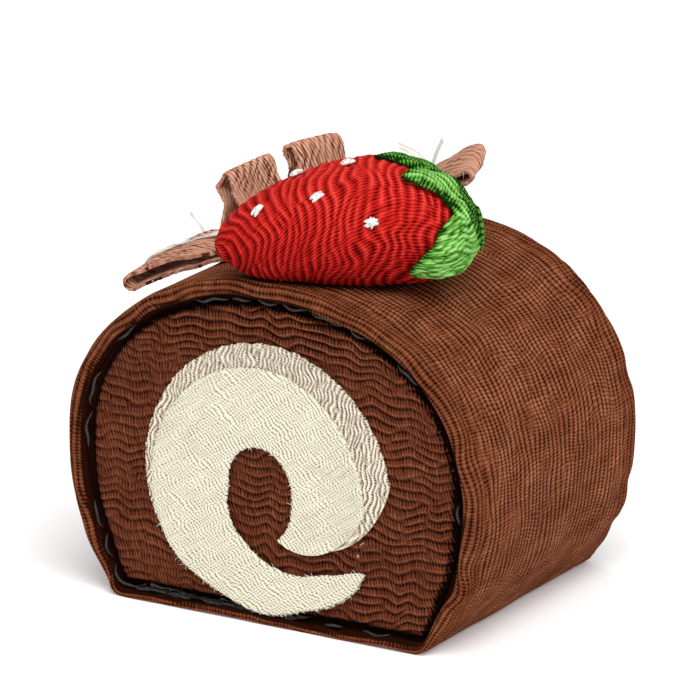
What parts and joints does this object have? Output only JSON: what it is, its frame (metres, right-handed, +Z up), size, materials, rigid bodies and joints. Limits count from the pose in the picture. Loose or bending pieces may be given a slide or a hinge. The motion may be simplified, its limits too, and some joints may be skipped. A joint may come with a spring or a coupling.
{
  "type": "fabric swiss roll cake ornament",
  "caption": "Small stuffed ornament of a swiss roll cake in crepe cloth, with a cream swirl on each end and a cloth strawberry, ribbon loops and organza tails on top.",
  "frame": {"origin": "middle of the flat foot that the roll rests on, halfway between the two decorated ends", "axes": "+X across the roll to the right of its shown end, +Y along the roll away from the shown end, +Z up"},
  "size_m": [0.06, 0.0433, 0.0617],
  "materials": {
    "cocoa_crepe": "cocoa brown crepe cloth, fine wavy ridges with thread ticks across them, dull",
    "cocoa_panel_crepe": "darker cocoa brown crepe cloth with bold wavy ridges, dull",
    "beige_crepe": "beige crepe cloth with an open mesh of upright ridges, dull",
    "cream_crepe": "cream crepe cloth with very fine slanting wavy ridges, dull",
    "red_crepe": "strawberry red crepe cloth with wavy ridges round the fruit and white knots of thread",
    "green_crepe": "leaf green crepe cloth with wavy ridges, slightly glossy",
    "rose_crepe": "rose brown crepe ribbon with wavy ridges",
    "organza": "sheer white organza with a light sheen"
  },
  "bodies": {
    "root": {"roll_cover": "cocoa_crepe", "end_panel_front": "cocoa_panel_crepe", "end_panel_back": "cocoa_panel_crepe", "beige_swirl_front": "beige_crepe", "beige_swirl_back": "beige_crepe", "cream_swirl_front": "cream_crepe", "cream_swirl_back": "cream_crepe", "strawberry": "red_crepe", "calyx": "green_crepe", "ribbon_loop_left_low": "rose_crepe", "ribbon_loop_left_up": "rose_crepe", "ribbon_loop_middle_up": "rose_crepe", "ribbon_loop_right_up": "rose_crepe", "organza_tail_left": "organza", "organza_over_left": "organza", "organza_tail_back_left": "organza", "organza_tail_back_right": "organza"}
  },
  "joints": []
}
